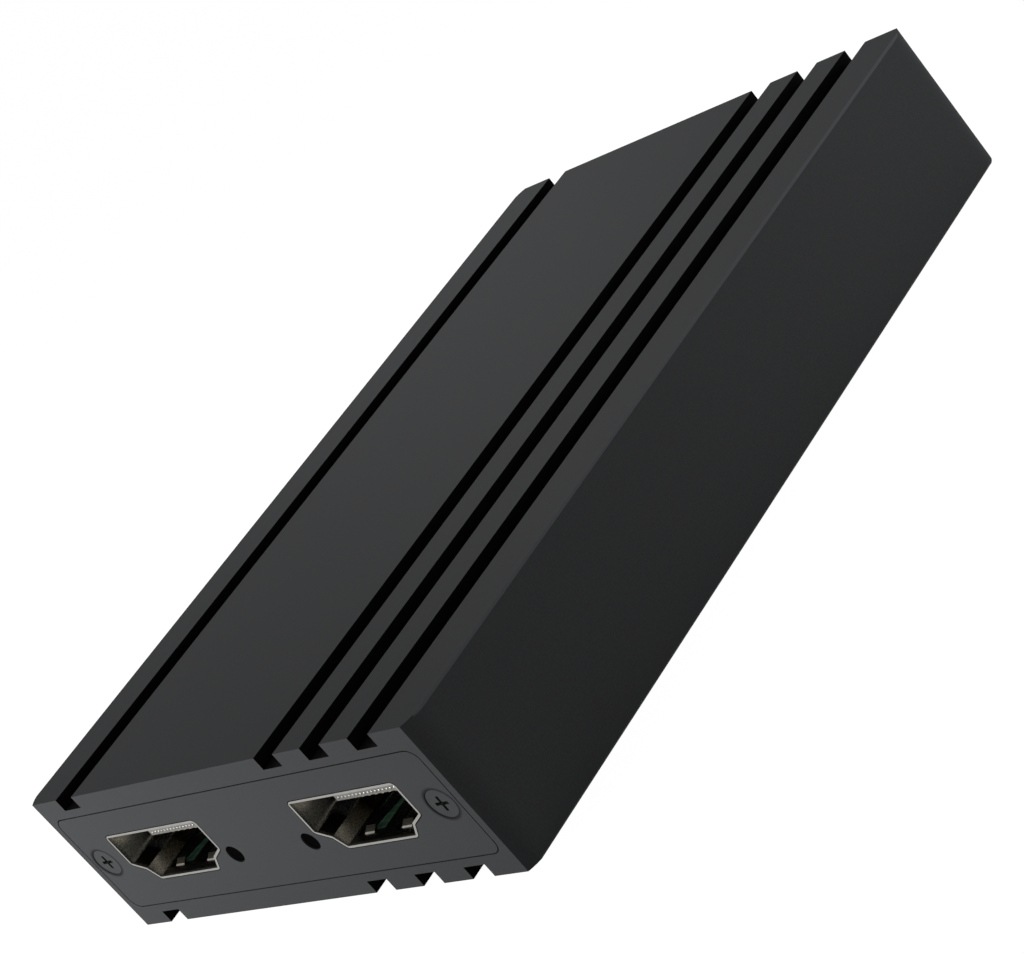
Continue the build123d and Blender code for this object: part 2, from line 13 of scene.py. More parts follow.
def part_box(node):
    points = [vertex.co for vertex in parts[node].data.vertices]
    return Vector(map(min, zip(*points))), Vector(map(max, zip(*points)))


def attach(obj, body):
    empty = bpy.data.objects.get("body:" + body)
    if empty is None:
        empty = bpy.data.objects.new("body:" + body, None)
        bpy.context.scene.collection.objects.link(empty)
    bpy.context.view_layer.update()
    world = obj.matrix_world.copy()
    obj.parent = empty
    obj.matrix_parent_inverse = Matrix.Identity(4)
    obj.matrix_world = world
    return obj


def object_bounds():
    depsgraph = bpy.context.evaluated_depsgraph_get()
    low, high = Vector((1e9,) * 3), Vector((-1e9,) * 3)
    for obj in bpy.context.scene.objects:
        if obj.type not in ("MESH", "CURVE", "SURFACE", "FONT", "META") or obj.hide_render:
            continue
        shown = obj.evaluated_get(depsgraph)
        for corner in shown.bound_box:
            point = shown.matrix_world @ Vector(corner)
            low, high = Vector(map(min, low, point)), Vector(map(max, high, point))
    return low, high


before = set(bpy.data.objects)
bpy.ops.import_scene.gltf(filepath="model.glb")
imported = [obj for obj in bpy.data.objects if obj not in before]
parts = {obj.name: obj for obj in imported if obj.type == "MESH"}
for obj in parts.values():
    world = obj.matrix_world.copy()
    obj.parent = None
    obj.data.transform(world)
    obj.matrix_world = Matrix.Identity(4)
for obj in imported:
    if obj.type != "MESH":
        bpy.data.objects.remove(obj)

MM = 0.001
cad_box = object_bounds()
print(len(parts), "CAD nodes, box", [[round(v / MM, 2) for v in corner] for corner in cad_box])

# %% [markdown]
# ## The camera
# The box lies flat, but the photographer held the camera rolled, above the right corner of the front
# end. The straight edges of the box fix where the camera stood and its focal length. The view's three
# directions are written as unit vectors, because a rolled camera is easier to read that way than as
# three angles.

# %% Camera
view_right = Vector((0.62700, 0.48392, -0.61049))
view_up = Vector((0.19480, 0.66137, 0.72432))
view_back = view_right.cross(view_up)
camera_place = Vector((0.212135, -0.162995, 0.099709))

camera_data = bpy.data.cameras.new("photo_camera")
camera_data.sensor_fit = "HORIZONTAL"
camera_data.sensor_width = 36.0
camera_data.lens = 98.58
camera_data.clip_start = 0.01
camera_data.clip_end = 20.0
camera = bpy.data.objects.new("photo_camera", camera_data)
bpy.context.scene.collection.objects.link(camera)
turn = Matrix((view_right, view_up, view_back)).transposed().to_4x4()
camera.matrix_world = Matrix.Translation(camera_place) @ turn
bpy.context.scene.camera = camera
bpy.context.scene.view_settings.view_transform = "Standard"
print("camera at", [round(v, 4) for v in camera_place], "lens", camera_data.lens)

# %% [markdown]
# ## The studio
# A black box on a white ground is lit softly, or its faces turn to mirrors. The world gives an even
# level to every face. What the camera, a reflection or a look through glass sees of the world is plain
# white, which a Light Path node switches, so the white ground asks for no more light on the box. Four
# soft lamps stand close by, as round a small thing on a table, so their light falls off along each
# face: the end face fades to the right, the top is lightest past its middle, and the right side
# lightens towards its far end. Their places come from the photograph's tones on the three faces.

# %% World
def switched_by_ray(tree):
    """One for the camera, a reflection or a look through glass, and zero for all other light."""
    path = tree.nodes.new("ShaderNodeLightPath")
    seen = tree.nodes.new("ShaderNodeMath")
    seen.operation = "MAXIMUM"
    tree.links.new(path.outputs["Is Camera Ray"], seen.inputs[0])
    tree.links.new(path.outputs["Is Glossy Ray"], seen.inputs[1])
    through = tree.nodes.new("ShaderNodeMath")
    through.operation = "MAXIMUM"
    tree.links.new(seen.outputs[0], through.inputs[0])
    tree.links.new(path.outputs["Is Transmission Ray"], through.inputs[1])
    return through.outputs[0]


world = bpy.data.worlds.new("studio_world")
bpy.context.scene.world = world
world.use_nodes = True
world_tree = world.node_tree
world_tree.nodes.clear()
even_light = world_tree.nodes.new("ShaderNodeBackground")
even_light.inputs["Color"].default_value = (0.97, 0.985, 1.0, 1.0)
even_light.inputs["Strength"].default_value = 0.22
white_ground = world_tree.nodes.new("ShaderNodeBackground")
white_ground.inputs["Color"].default_value = (1.0, 1.0, 1.0, 1.0)
white_ground.inputs["Strength"].default_value = 1.0
world_switch = world_tree.nodes.new("ShaderNodeMixShader")
world_out = world_tree.nodes.new("ShaderNodeOutputWorld")
world_tree.links.new(switched_by_ray(world_tree), world_switch.inputs["Fac"])
world_tree.links.new(even_light.outputs[0], world_switch.inputs[1])
world_tree.links.new(white_ground.outputs[0], world_switch.inputs[2])
world_tree.links.new(world_switch.outputs[0], world_out.inputs["Surface"])
print("world: even level", even_light.inputs["Strength"].default_value, "and a white ground")

# %% Lamps
def soft_lamp(name, place, aim, size, watts):
    """A square soft lamp at a place, turned towards a point."""
    data = bpy.data.lights.new(name, "AREA")
    data.shape = "SQUARE"
    data.size = size
    data.energy = watts
    lamp = bpy.data.objects.new(name, data)
    bpy.context.scene.collection.objects.link(lamp)
    away = (Vector(place) - Vector(aim)).normalized()
    lamp.matrix_world = Matrix.Translation(place) @ away.to_track_quat("Z", "Y").to_matrix().to_4x4()
    return lamp


near_end = (0.0, -0.050, 0.009)
lamp_size = 60 * MM
lamps = [
    soft_lamp("front_lamp", (-0.084, -0.196, 0.033), near_end, lamp_size, 0.407),
    soft_lamp("left_lamp", (-0.070, 0.071, 0.107), near_end, lamp_size, 0.076),
    soft_lamp("right_lamp", (0.119, 0.069, 0.033), near_end, lamp_size, 0.045),
    soft_lamp("over_lamp", (0.0, 0.059, 0.139), near_end, lamp_size, 0.026),
]
print("lamps", [lamp.name for lamp in lamps])

# %% [markdown]
# ## The floor
# The box needs something to stand on in every view. The floor is a fine sheet, pale and matt. It gives
# back part of the light and adds a steady white of its own where the camera or a reflection sees it,
# so it merges into the white ground and still keeps the soft shadow of the box.

# %% Floor
floor_half = 3.0
floor_drop = 0.02 * MM
floor_mesh = bpy.data.meshes.new("floor")
floor_corners = [(x * floor_half, y * floor_half, -floor_drop)
                 for x, y in ((-1, -1), (1, -1), (1, 1), (-1, 1))]
floor_mesh.from_pydata(floor_corners, [], [(0, 1, 2, 3)])
floor = bpy.data.objects.new("floor", floor_mesh)
bpy.context.scene.collection.objects.link(floor)

floor_paint = bpy.data.materials.new("floor_paint")
floor_paint.use_nodes = True
floor_tree = floor_paint.node_tree
floor_tree.nodes.clear()
matt = floor_tree.nodes.new("ShaderNodeBsdfDiffuse")
matt.inputs["Color"].default_value = (0.10, 0.10, 0.10, 1.0)
matt_and_glow = floor_tree.nodes.new("ShaderNodeAddShader")
glow = floor_tree.nodes.new("ShaderNodeEmission")
glow.inputs["Strength"].default_value = 0.975
plain = floor_tree.nodes.new("ShaderNodeBsdfDiffuse")
plain.inputs["Color"].default_value = (0.75, 0.75, 0.75, 1.0)
floor_switch = floor_tree.nodes.new("ShaderNodeMixShader")
floor_out = floor_tree.nodes.new("ShaderNodeOutputMaterial")
floor_tree.links.new(matt.outputs[0], matt_and_glow.inputs[0])
floor_tree.links.new(glow.outputs[0], matt_and_glow.inputs[1])
floor_tree.links.new(switched_by_ray(floor_tree), floor_switch.inputs["Fac"])
floor_tree.links.new(plain.outputs[0], floor_switch.inputs[1])
floor_tree.links.new(matt_and_glow.outputs[0], floor_switch.inputs[2])
floor_tree.links.new(floor_switch.outputs[0], floor_out.inputs["Surface"])
floor_mesh.materials.append(floor_paint)
print("floor", 2 * floor_half, "m across")

# %% [markdown]
# ## Shared effects
# Several finishes need the same kind of unevenness: a fine grain, long streaks, or a lighter band
# along the outer edges that is partly wear and partly a painted highlight. Each is a node group, built
# once, with named inputs, so a finish only states its own values. A group gives back masks and heights,
# and the shader itself stays in the material.

# %% Helpers for node groups
def new_effect(name, inputs, outputs):
    """An empty shader node group with named float or vector inputs and float outputs."""
    group = bpy.data.node_groups.new(name, "ShaderNodeTree")
    for socket, kind, value in inputs:
        made = group.interface.new_socket(socket, in_out="INPUT", socket_type=kind)
        if value is not None:
            made.default_value = value
    for socket in outputs:
        group.interface.new_socket(socket, in_out="OUTPUT", socket_type="NodeSocketFloat")
    entry = group.nodes.new("NodeGroupInput")
    leave = group.nodes.new("NodeGroupOutput")
    return group, entry.outputs, leave.inputs


def sum_up(tree, operation, first, second=None, third=None):
    """A Math node in a tree. Each operand is a socket or a number."""
    node = tree.nodes.new("ShaderNodeMath")
    node.operation = operation
    for place, value in enumerate((first, second, third)):
        if value is None:
            continue
        if isinstance(value, (int, float)):
            node.inputs[place].default_value = value
        else:
            tree.links.new(value, node.inputs[place])
    return node.outputs[0]


def sums_in(tree):
    """A shorthand for sum_up in one tree, so that a long sum stays short to read."""
    return lambda operation, *operands: sum_up(tree, operation, *operands)


def axes_of(tree, vector):
    """The three numbers of a vector, by the names of their axes."""
    node = tree.nodes.new("ShaderNodeSeparateXYZ")
    tree.links.new(vector, node.inputs[0])
    return node.outputs


def cloud(tree, coordinates, scale, detail=2.0, roughness=0.5):
    """A noise value between zero and one, at a scale given as a number or a socket."""
    node = tree.nodes.new("ShaderNodeTexNoise")
    tree.links.new(coordinates, node.inputs["Vector"])
    if isinstance(scale, (int, float)):
        node.inputs["Scale"].default_value = scale
    else:
        tree.links.new(scale, node.inputs["Scale"])
    node.inputs["Detail"].default_value = detail
    node.inputs["Roughness"].default_value = roughness
    return node.outputs["Fac"]


# %% [markdown]
# Blasted and anodised metal, and moulded plastic, are even from a step away and grainy close up. A
# fine noise gives the grain and a broad one gives the slow change in tone that handling and the dye
# bath leave.

# %% Fine grain
grain, given, gives = new_effect(
    "fine_grain",
    [("Coordinates", "NodeSocketVector", None), ("Grain Scale", "NodeSocketFloat", 6000.0),
     ("Tone Scale", "NodeSocketFloat", 40.0)],
    ["Grain", "Tone"])
grain.links.new(cloud(grain, given["Coordinates"], given["Grain Scale"], 3.0, 0.6), gives["Grain"])
grain.links.new(cloud(grain, given["Coordinates"], given["Tone Scale"], 2.0), gives["Tone"])
print("effect", grain.name)

# %% [markdown]
# Rolled sheet and extruded metal carry fine lines along the way they were drawn. The same noise,
# squeezed across that way, becomes long streaks. A Mapping node with unequal scales does the squeeze.

# %% Drawn lines
drawn, given, gives = new_effect(
    "drawn_lines",
    [("Coordinates", "NodeSocketVector", None), ("Squeeze", "NodeSocketVector", (1.0, 1.0, 1.0)),
     ("Line Scale", "NodeSocketFloat", 4000.0)],
    ["Lines"])
squeeze = drawn.nodes.new("ShaderNodeMapping")
drawn.links.new(given["Coordinates"], squeeze.inputs["Vector"])
drawn.links.new(given["Squeeze"], squeeze.inputs["Scale"])
drawn.links.new(cloud(drawn, squeeze.outputs["Vector"], given["Line Scale"], 3.0, 0.55), gives["Lines"])
print("effect", drawn.name)

# %% [markdown]
# The long outer edges of the sleeve are painted lighter, partly as wear of the black film and partly
# as a painted highlight along each edge, while its ends are crisp. The edges are straight and known,
# so the mask is worked out from the place alone: a point lies on a long edge where it is close to a
# side and to the top or the bottom at once. A noise breaks the lighter band up.

# %% Rubbed edges with a painted highlight
rub_and_highlight_effect, given, gives = new_effect(
    "rubbed_and_highlighted_edges",
    [("Coordinates", "NodeSocketVector", None), ("Half Size", "NodeSocketVector", (1.0, 1.0, 1.0)),
     ("Middle", "NodeSocketVector", (0.0, 0.0, 0.0)), ("Band", "NodeSocketFloat", 0.0004)],
    ["Rub"])
work = sums_in(rub_and_highlight_effect)
centred = rub_and_highlight_effect.nodes.new("ShaderNodeVectorMath")
centred.operation = "SUBTRACT"
rub_and_highlight_effect.links.new(given["Coordinates"], centred.inputs[0])
rub_and_highlight_effect.links.new(given["Middle"], centred.inputs[1])
folded = rub_and_highlight_effect.nodes.new("ShaderNodeVectorMath")
folded.operation = "ABSOLUTE"
rub_and_highlight_effect.links.new(centred.outputs[0], folded.inputs[0])
below_face = rub_and_highlight_effect.nodes.new("ShaderNodeVectorMath")
below_face.operation = "SUBTRACT"
rub_and_highlight_effect.links.new(given["Half Size"], below_face.inputs[0])
rub_and_highlight_effect.links.new(folded.outputs[0], below_face.inputs[1])
depths = axes_of(rub_and_highlight_effect, below_face.outputs[0])
near_side, near_top = [
    work("MAXIMUM", work("SUBTRACT", 1.0, work("DIVIDE", depths[axis], given["Band"])), 0.0)
    for axis in ("X", "Z")]
edge = work("MULTIPLY", near_side, near_top)
patch = cloud(rub_and_highlight_effect, given["Coordinates"], 900.0, 3.0, 0.6)
broken = work("MULTIPLY", edge, work("MULTIPLY_ADD", patch, 2.0, 3.0))
rub_and_highlight_effect.links.new(work("MINIMUM", broken, 1.0), gives["Rub"])
print("effect", rub_and_highlight_effect.name)

# %% [markdown]
# The walls and floor of each narrow groove are painted nearly black, as painted shade. The grooves
# are bands at known places across the sleeve, so the mask is worked out from the place across and the
# height, once for each groove.

# %% Painted shade in the grooves
groove_places = [place * MM for place in (-24.1, 10.1, 17.1, 24.1)]
groove_shade_effect, given, gives = new_effect(
    "painted_groove_shade",
    [("Coordinates", "NodeSocketVector", None), ("Half Width", "NodeSocketFloat", 1.0),
     ("Floor Height", "NodeSocketFloat", 1.0), ("Mid Height", "NodeSocketFloat", 0.0)],
    ["Shelter"])
work = sums_in(groove_shade_effect)
across = axes_of(groove_shade_effect, given["Coordinates"])
in_band = 0.0
for groove in groove_places:
    off_centre = work("ABSOLUTE", work("SUBTRACT", across["X"], groove))
    in_band = work("MAXIMUM", work("LESS_THAN", off_centre, given["Half Width"]), in_band)
from_middle = work("ABSOLUTE", work("SUBTRACT", across["Z"], given["Mid Height"]))
outside = work("GREATER_THAN", from_middle, given["Floor Height"])
groove_shade_effect.links.new(work("MULTIPLY", in_band, outside), gives["Shelter"])
print("effect", groove_shade_effect.name, "for", len(groove_places), "grooves above and as many below")

# %% [markdown]
# Inside a socket the plating is lighter just behind the rim and fades to painted shade deeper in,
# and the moulding takes a tone of its own behind the tongue's front. Every socket opens in one of
# the two ends, so the depth behind the nearer end is all that the mask needs.

# %% Depth behind an end
behind, given, gives = new_effect(
    "depth_behind_end",
    [("Coordinates", "NodeSocketVector", None), ("Half Length", "NodeSocketFloat", 0.05),
     ("Start", "NodeSocketFloat", 0.0), ("Run", "NodeSocketFloat", 0.001)],
    ["Depth"])
work = sums_in(behind)
along = work("ABSOLUTE", axes_of(behind, given["Coordinates"])["Y"])
depth = work("SUBTRACT", given["Half Length"], along)
past_start = work("DIVIDE", work("SUBTRACT", depth, given["Start"]), given["Run"])
behind.links.new(work("MINIMUM", work("MAXIMUM", past_start, 0.0), 1.0), gives["Depth"])
print("effect", behind.name)

# %% [markdown]
# A soft dark ring of painted shade lies round each screw, where its countersunk head meets the
# plate. The two screws of an end stand level and equally far from the middle, so one distance from
# that place is all that the mask needs.

# %% Painted shade round a screw
screw_shade_effect, given, gives = new_effect(
    "painted_shade_round_screw",
    [("Coordinates", "NodeSocketVector", None), ("Screw Place", "NodeSocketFloat", 0.0283),
     ("Mid Height", "NodeSocketFloat", 0.0), ("Ring Radius", "NodeSocketFloat", 0.0017),
     ("Ring Width", "NodeSocketFloat", 0.0003)],
    ["Ring"])
work = sums_in(screw_shade_effect)
spot = axes_of(screw_shade_effect, given["Coordinates"])
aside = work("SUBTRACT", work("ABSOLUTE", spot["X"]), given["Screw Place"])
upwards = work("SUBTRACT", spot["Z"], given["Mid Height"])
squares = work("ADD", work("MULTIPLY", aside, aside), work("MULTIPLY", upwards, upwards))
off_ring = work("ABSOLUTE", work("SUBTRACT", work("SQRT", squares), given["Ring Radius"]))
fade = work("DIVIDE", off_ring, given["Ring Width"])
screw_shade_effect.links.new(work("MAXIMUM", work("SUBTRACT", 1.0, fade), 0.0), gives["Ring"])
print("effect", screw_shade_effect.name)

# %% [markdown]
# The video ports' shells are folded from sheet, and each fold is rolled smooth. A painted highlight
# runs along each fold from the mouth inwards. The wall above the fold is painted darker inwards, as
# painted shade. The step below it is painted black as shade near the mouth, and pale further in as a
# painted reflection of the moulding. The floor is painted nearly black as shade, with two leaves in it
# that are a little lighter, also painted shade, and have front lips in a bright tone. All these masks
# follow from the port's section: how far a point is from its port's middle, how high it is above the
# board and how deep behind the end.

# %% Painted light and shade inside a folded shell
half_length = cad_box[1][1]
fold_place = 7.62 * MM        # from the port's middle to the fold
fold_height = 2.50 * MM       # all heights are above the board
fold_radius = 0.32 * MM
fold_run = 8.0 * MM
fold_highlight_strength = 2.5
floor_top = 0.27 * MM
leaf_place = 2.73 * MM
leaf_half_width = 0.76 * MM
leaf_top = 1.6 * MM
lip_depth = 1.34 * MM
side_place = 6.8 * MM         # the middle of the strip that holds the wall and the step
side_half_width = 0.95 * MM
step_top = 2.44 * MM

folded_sheet, given, gives = new_effect(
    "folded_sheet",
    [("Coordinates", "NodeSocketVector", None), ("Port Place", "NodeSocketFloat", 0.0155),
     ("Board Top", "NodeSocketFloat", 0.0056)],
    ["Fold", "Floor", "Leaf", "Lip", "Wall", "Step"])
work = sums_in(folded_sheet)
spot = axes_of(folded_sheet, given["Coordinates"])
outwards = work("ABSOLUTE", work("SUBTRACT", work("ABSOLUTE", spot["X"]), given["Port Place"]))
height = work("SUBTRACT", spot["Z"], given["Board Top"])
depth = work("SUBTRACT", half_length, work("ABSOLUTE", spot["Y"]))

side_gap = work("SUBTRACT", outwards, fold_place)
height_gap = work("SUBTRACT", height, fold_height)
squares = work("ADD", work("MULTIPLY", side_gap, side_gap), work("MULTIPLY", height_gap, height_gap))
off_fold = work("DIVIDE", work("SQRT", squares), fold_radius)
near_fold = work("MAXIMUM", work("SUBTRACT", 1.0, off_fold), 0.0)
near_mouth = work("MAXIMUM", work("SUBTRACT", 1.0, work("DIVIDE", depth, fold_run)), 0.0)
# Painted highlight along each fold, strongest at the mouth.
line = work("MULTIPLY", work("MULTIPLY", near_fold, near_mouth), fold_highlight_strength)
folded_sheet.links.new(work("MINIMUM", line, 1.0), gives["Fold"])

folded_sheet.links.new(work("LESS_THAN", height, floor_top), gives["Floor"])

from_leaf = work("ABSOLUTE", work("SUBTRACT", outwards, leaf_place))
low_down = work("LESS_THAN", height, leaf_top)
leaf = work("MULTIPLY", work("LESS_THAN", from_leaf, leaf_half_width), low_down)
folded_sheet.links.new(leaf, gives["Leaf"])
folded_sheet.links.new(work("MULTIPLY", leaf, work("LESS_THAN", depth, lip_depth)), gives["Lip"])

by_side = work("COMPARE", outwards, side_place, side_half_width)
wall = work("MULTIPLY", by_side, work("GREATER_THAN", height, step_top))
folded_sheet.links.new(wall, gives["Wall"])
folded_sheet.links.new(work("SUBTRACT", by_side, wall), gives["Step"])

board_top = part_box("circuit_board")[1][2]
port_place = sum(corner[0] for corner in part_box("right_video_port_shell")) / 2
print("effect", folded_sheet.name, "for ports at", round(port_place / MM, 3), "mm")

# %% [markdown]
# ## Finishes
# Every finish is one shader fed by the effects above, so the steps that repeat are functions: start a
# material, place an effect in it, draw a number or a colour from a mask, and put the finish on its CAD
# nodes. All patterns use object coordinates, which keeps them fixed to their piece in any view.

# %% Helpers for finishes
def new_finish(name):
    """A material with its Principled shader, its tree and its object coordinates."""
    finish = bpy.data.materials.new(name)
    finish.use_nodes = True
    tree = finish.node_tree
    shader = tree.nodes["Principled BSDF"]
    place = tree.nodes.new("ShaderNodeTexCoord").outputs["Object"]
    return finish, tree, shader, place


def place_effect(tree, effect, place, **values):
    """An effect placed in a material, fed with its coordinates and its own values."""
    node = tree.nodes.new("ShaderNodeGroup")
    node.node_tree = effect
    tree.links.new(place, node.inputs["Coordinates"])
    for socket, value in values.items():
        node.inputs[socket.replace("_", " ").title()].default_value = value
    return node.outputs


def between(tree, mask, low, high):
    """A number that goes from low to high with a mask."""
    node = tree.nodes.new("ShaderNodeMapRange")
    tree.links.new(mask, node.inputs["Value"])
    node.inputs["To Min"].default_value = low
    node.inputs["To Max"].default_value = high
    return node.outputs["Result"]


def blend_colours(tree, mask, low, high):
    """A colour that goes from low to high with a mask. Each colour is a socket or three numbers."""
    node = tree.nodes.new("ShaderNodeMix")
    node.data_type = "RGBA"
    tree.links.new(mask, node.inputs[0])
    for socket, value in ((node.inputs[6], low), (node.inputs[7], high)):
        if isinstance(value, tuple):
            socket.default_value = (*value, 1.0)
        else:
            tree.links.new(value, socket)
    return node.outputs[2]


def relief(tree, shader, height, depth, strength=1.0):
    """Gives a shader the relief of a height mask, with its full depth in metres."""
    bump = tree.nodes.new("ShaderNodeBump")
    bump.inputs["Strength"].default_value = strength
    bump.inputs["Distance"].default_value = depth
    tree.links.new(height, bump.inputs["Height"])
    tree.links.new(bump.outputs["Normal"], shader.inputs["Normal"])


def dress(finish, *nodes):
    """Gives CAD nodes a finish by their material slots."""
    for node in nodes:
        for slot in parts[node].material_slots:
            slot.material = finish
    print(finish.name, "on", ", ".join(nodes))


# %% [markdown]
# ## The anodised sleeve
# The sleeve is extruded, blasted and dyed black. Anodising is a clear ceramic film full of dye over
# the metal, so it shades like a matt, dark, non-metal surface with a weak gloss, and not like bare
# metal. The gloss is kept low, or the white ground would turn the top grey at its shallow angle. The
# long edges are painted lighter, partly as wear that lets a little of the metal through and partly as
# a painted highlight.

# %% Black dye
def dyed_black(tree, fine):
    """The colour of dyed anodising: two close blacks that wander, with a paler speck of grain."""
    dyed = blend_colours(tree, fine["Tone"], (0.0370, 0.0378, 0.0390), (0.0430, 0.0440, 0.0453))
    return blend_colours(tree, between(tree, fine["Grain"], -0.6, 1.4), dyed, (0.050, 0.051, 0.0525))


# %% Sleeve finish
sleeve_black, tree, shader, place = new_finish("anodised_sleeve")
fine = place_effect(tree, grain, place, grain_scale=5200.0, tone_scale=28.0)
lines = place_effect(tree, drawn, place, squeeze=(1.0, 0.02, 1.0), line_scale=3800.0)
low_corner, high_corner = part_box("case_sleeve")
middle = [(a + b) / 2 for a, b in zip(low_corner, high_corner)]
half_size = [(b - a) / 2 for a, b in zip(low_corner, high_corner)]
edge_rub_and_highlight = place_effect(tree, rub_and_highlight_effect, place, half_size=half_size, middle=middle, band=0.27 * MM)
groove_shade = place_effect(tree, groove_shade_effect, place,
                       half_width=1.47 * MM, floor_height=7.19 * MM, mid_height=middle[2])
# Painted highlight, partly wear: the long edges are painted a paler black than the dye.
worn_and_highlighted = blend_colours(tree, edge_rub_and_highlight["Rub"], dyed_black(tree, fine), (0.085, 0.0865, 0.089))
# Painted shade: the grooves' walls and floor are painted nearly black.
groove_shaded = blend_colours(tree, groove_shade["Shelter"], worn_and_highlighted, (0.003, 0.003, 0.0033))
tree.links.new(groove_shaded, shader.inputs["Base Color"])
tree.links.new(between(tree, fine["Grain"], 0.52, 0.66), shader.inputs["Roughness"])
shader.inputs["Specular IOR Level"].default_value = 0.01
grain_and_lines = sum_up(tree, "ADD", fine["Grain"], sum_up(tree, "MULTIPLY", lines["Lines"], 0.5))
relief(tree, shader, grain_and_lines, 0.006 * MM, 0.6)
dress(sleeve_black, "case_sleeve")

# %% [markdown]
# ## The end plates
# The plates are cut from sheet and anodised with the sleeve, so they share its dye and have a finer
# grain. They use the same effects with other values, which is what the groups are for, and a soft dark
# ring of painted shade round each screw takes the place of the sleeve's lighter long edges.

# %% Plate finish
plate_black, tree, shader, place = new_finish("anodised_plate")
fine = place_effect(tree, grain, place, grain_scale=6500.0, tone_scale=45.0)
screw_low, screw_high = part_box("front_screws")
screw_head = (screw_high[2] - screw_low[2]) / 2
screw_place = screw_high[0] - screw_head
ring = place_effect(tree, screw_shade_effect, place, screw_place=screw_place, mid_height=middle[2],
                    ring_radius=screw_head + 0.1 * MM, ring_width=0.35 * MM)
# Painted shade: a soft dark ring on the plate round each screw.
screw_shaded = blend_colours(tree, ring["Ring"], dyed_black(tree, fine), (0.012, 0.012, 0.013))
tree.links.new(screw_shaded, shader.inputs["Base Color"])
tree.links.new(between(tree, fine["Grain"], 0.50, 0.62), shader.inputs["Roughness"])
shader.inputs["Specular IOR Level"].default_value = 0.01
relief(tree, shader, fine["Grain"], 0.005 * MM, 0.5)
dress(plate_black, "front_plate", "rear_plate")

# %% [markdown]
# ## Screws
# The screws are blackened steel. In the photograph their heads match the plate in tone, and only the
# ring round each and the cross in it are darker, so the film is nearly as matt as the dyed plate. A
# coarser change in tone is what drivers leave on it.

# %% Screw finish
screw_black, tree, shader, place = new_finish("blackened_screw")
fine = place_effect(tree, grain, place, grain_scale=7000.0, tone_scale=700.0)
blackened = blend_colours(tree, fine["Tone"], (0.034, 0.035, 0.036), (0.046, 0.047, 0.048))
tree.links.new(blackened, shader.inputs["Base Color"])
tree.links.new(between(tree, fine["Grain"], 0.48, 0.62), shader.inputs["Roughness"])
shader.inputs["Specular IOR Level"].default_value = 0.03
relief(tree, shader, fine["Grain"], 0.004 * MM, 0.4)
dress(screw_black, "front_screws", "rear_screws")

# %% [markdown]
# ## Plated sheet
# The port shells are thin steel, folded and plated with nickel. The plating is bright but not a
# mirror: rolling left fine lines along the sheet, and the tin-grey tone wanders a little. The other
# bare metals are made in the same way with tones of their own.

# %% Plated finishes
def shell_inside(tree, place, inner, deep):
    """The colour of a port shell's inside: an inner tone that fades to a deep one of painted shade, with
    painted highlights on the folds and painted shade on the wall, step, floor and leaves.
    """
    def faded(start, run, near, far):
        """One colour that gives way to another with depth, over a run of some millimetres."""
        fade = place_effect(tree, behind, place, half_length=half_length, start=start * MM, run=run * MM)
        return blend_colours(tree, fade["Depth"], near, far)

    # Painted shade: the floor and the step near the mouth are painted nearly black, the wall darkens
    # inwards and the leaves are painted dark. The step's pale tone further in is a painted reflection of
    # the moulding, and the fold's pale tone is a painted highlight.
    painted_shade_black = (0.030, 0.028, 0.024)
    folds = place_effect(tree, folded_sheet, place, port_place=port_place, board_top=board_top)
    tone = faded(1.5, 3.0, inner, deep)
    for mask, colour in (("Wall", faded(0.9, 2.8, inner, deep)),
                         ("Step", faded(2.4, 0.6, painted_shade_black, (0.75, 0.75, 0.75))),
                         ("Leaf", (0.045, 0.042, 0.037)), ("Lip", (0.52, 0.50, 0.45)),
                         ("Floor", painted_shade_black), ("Fold", (0.80, 0.77, 0.70))):
        tone = blend_colours(tree, folds[mask], tone, colour)
    return tone


def plated(name, dull, bright, rough, squeeze, inner=None, deep=None):
    """A plated metal with drawn lines: its two tones, its roughness range and the lines' squeeze.

    An inner tone, where one is given, takes over behind the socket's rim, and fades to a deep one of
    painted shade.
    """
    finish, tree, shader, place = new_finish(name)
    lines = place_effect(tree, drawn, place, squeeze=squeeze, line_scale=9000.0)
    fine = place_effect(tree, grain, place, grain_scale=9000.0, tone_scale=500.0)
    skin = blend_colours(tree, fine["Tone"], dull, bright)
    if inner:
        inside = place_effect(tree, behind, place, half_length=half_length, start=0.1 * MM, run=0.3 * MM)
        skin = blend_colours(tree, inside["Depth"], skin, shell_inside(tree, place, inner, deep))
    tree.links.new(skin, shader.inputs["Base Color"])
    tree.links.new(between(tree, lines["Lines"], rough[0], rough[1]), shader.inputs["Roughness"])
    shader.inputs["Metallic"].default_value = 1.0
    relief(tree, shader, lines["Lines"], 0.002 * MM, 0.35)
    return finish


# The shells' inner tone is lighter just behind the rim and fades to the deep one, which is painted
# shade.
shell_plating = plated(
    "nickel_shell", (0.23, 0.226, 0.213), (0.31, 0.305, 0.288), (0.22, 0.34), (0.05, 1.0, 1.0),
    inner=(0.62, 0.58, 0.50), deep=(0.025, 0.0225, 0.018))
bush_plating = plated(
    "nickel_bush", (0.52, 0.51, 0.48), (0.66, 0.65, 0.62), (0.18, 0.30), (1.0, 1.0, 1.0))
tip_plating = plated(
    "nickel_tips", (0.22, 0.217, 0.205), (0.29, 0.286, 0.272), (0.30, 0.42), (1.0, 1.0, 1.0))
tin_plating = plated(
    "tinned_metal", (0.52, 0.52, 0.50), (0.66, 0.66, 0.65), (0.30, 0.46), (1.0, 1.0, 1.0))
gilt = plated(
    "gilded_contact", (0.66, 0.49, 0.20), (0.83, 0.66, 0.33), (0.20, 0.34), (1.0, 0.08, 1.0))
can_skin = plated(
    "aluminium_can", (0.55, 0.55, 0.55), (0.68, 0.68, 0.68), (0.26, 0.40), (1.0, 1.0, 0.06))
